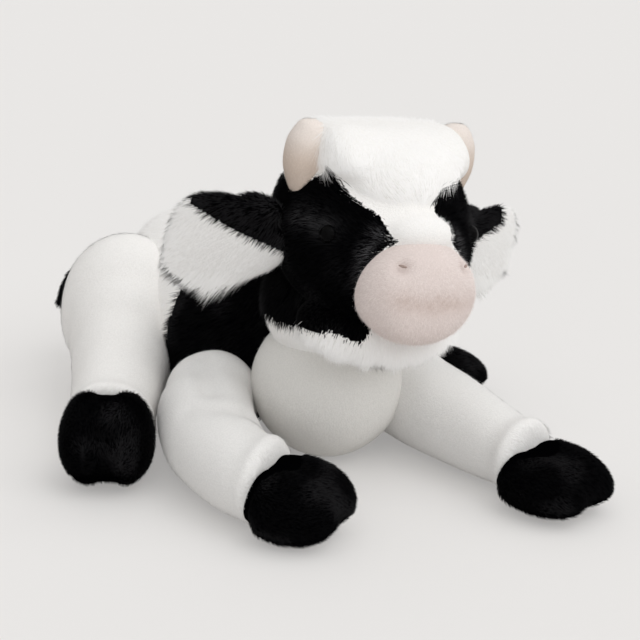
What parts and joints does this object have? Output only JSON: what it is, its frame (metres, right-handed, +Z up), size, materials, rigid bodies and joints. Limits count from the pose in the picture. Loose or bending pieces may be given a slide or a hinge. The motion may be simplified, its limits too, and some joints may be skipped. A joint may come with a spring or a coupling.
{
  "type": "plush cow",
  "caption": "Stuffed plush cow lying on its belly with legs stretched out, its head on a ball-shaped neck; head, ears, legs and tail move.",
  "frame": {"origin": "middle of the flat under the belly, on the ground", "axes": "+Z up, -Y the way the cow faces, -X its right side"},
  "size_m": [0.3713, 0.4858, 0.2755],
  "materials": {
    "short_pile_black": "deep black short pile plush with white patches",
    "chest_white": "off-white long pile plush",
    "neck_black": "black pile plush",
    "head_black": "black pile plush with a white blaze",
    "muzzle_cream": "pink-cream short nap",
    "ruff_white": "white long pile plush",
    "tuft_white": "white long pile plush",
    "horn_cream": "dull cream short nap",
    "ear_black": "black pile plush",
    "ear_white": "white long pile plush",
    "eye_black": "glossy black",
    "washer_grey": "matt grey, inside",
    "thread_black": "dark thread",
    "leg_white": "white pile plush",
    "hoof_black": "black short pile plush",
    "tail_white": "white pile plush",
    "tail_black": "black long pile plush"
  },
  "bodies": {
    "trunk_body": {"trunk": "short_pile_black", "chest": "chest_white"},
    "neck_body": {"neck": "neck_black"},
    "head_body": {"head": "head_black", "muzzle": "muzzle_cream", "jaw": "ruff_white", "poll_tuft": "tuft_white", "horn_right": "horn_cream", "horn_left": "horn_cream", "eye_right": "eye_black", "eye_left": "eye_black", "eye_washer_right": "washer_grey", "eye_washer_left": "washer_grey", "nostril_stitch_right": "thread_black", "nostril_stitch_left": "thread_black"},
    "ear_right_body": {"ear_right": "ear_black", "ear_lining_right": "ear_white"},
    "ear_left_body": {"ear_left": "ear_black", "ear_lining_left": "ear_white"},
    "front_leg_right_body": {"front_leg_right": "leg_white", "front_hoof_right": "hoof_black"},
    "front_leg_left_body": {"front_leg_left": "leg_white", "front_hoof_left": "hoof_black"},
    "hind_leg_right_body": {"hind_leg_right": "leg_white", "hind_hoof_right": "hoof_black"},
    "hind_leg_left_body": {"hind_leg_left": "leg_white", "hind_hoof_left": "hoof_black"},
    "tail_body": {"tail": "tail_white", "tail_tuft": "tail_black"}
  },
  "joints": [
    {"name": "neck_nod", "type": "hinge", "parent": "trunk_body", "child": "neck_body", "pos_m": [0, -0.13, 0.1235], "axis": [-1, 0, 0], "range_deg": [0, 12]},
    {"name": "head_turn", "type": "hinge", "parent": "neck_body", "child": "head_body", "pos_m": [0, -0.13, 0.1235], "axis": [0, 0, 1], "range_deg": [-12, 12]},
    {"name": "ear_right_flap", "type": "hinge", "parent": "head_body", "child": "ear_right_body", "pos_m": [-0.05669, -0.14978, 0.18095], "axis": [0.1392, 0.9903, 0], "range_deg": [-20, 20]},
    {"name": "ear_left_flap", "type": "hinge", "parent": "head_body", "child": "ear_left_body", "pos_m": [0.08435, -0.16961, 0.15839], "axis": [-0.1392, -0.9903, 0], "range_deg": [-20, 20]},
    {"name": "front_leg_right_lift", "type": "hinge", "parent": "trunk_body", "child": "front_leg_right_body", "pos_m": [-0.072, -0.08, 0.045], "axis": [-1, 0, 0], "range_deg": [0, 12]},
    {"name": "front_leg_left_lift", "type": "hinge", "parent": "trunk_body", "child": "front_leg_left_body", "pos_m": [0.06, -0.095, 0.045], "axis": [-1, 0, 0], "range_deg": [0, 8]},
    {"name": "hind_leg_right_spread", "type": "hinge", "parent": "trunk_body", "child": "hind_leg_right_body", "pos_m": [-0.069, 0.056, 0.048], "axis": [0, 0, -1], "range_deg": [0, 25]},
    {"name": "hind_leg_left_spread", "type": "hinge", "parent": "trunk_body", "child": "hind_leg_left_body", "pos_m": [0.069, 0.056, 0.048], "axis": [0, 0, 1], "range_deg": [0, 25]},
    {"name": "tail_swing", "type": "hinge", "parent": "trunk_body", "child": "tail_body", "pos_m": [0, 0.11478, 0.09862], "axis": [0, 0, -1], "range_deg": [0, 25]}
  ]
}
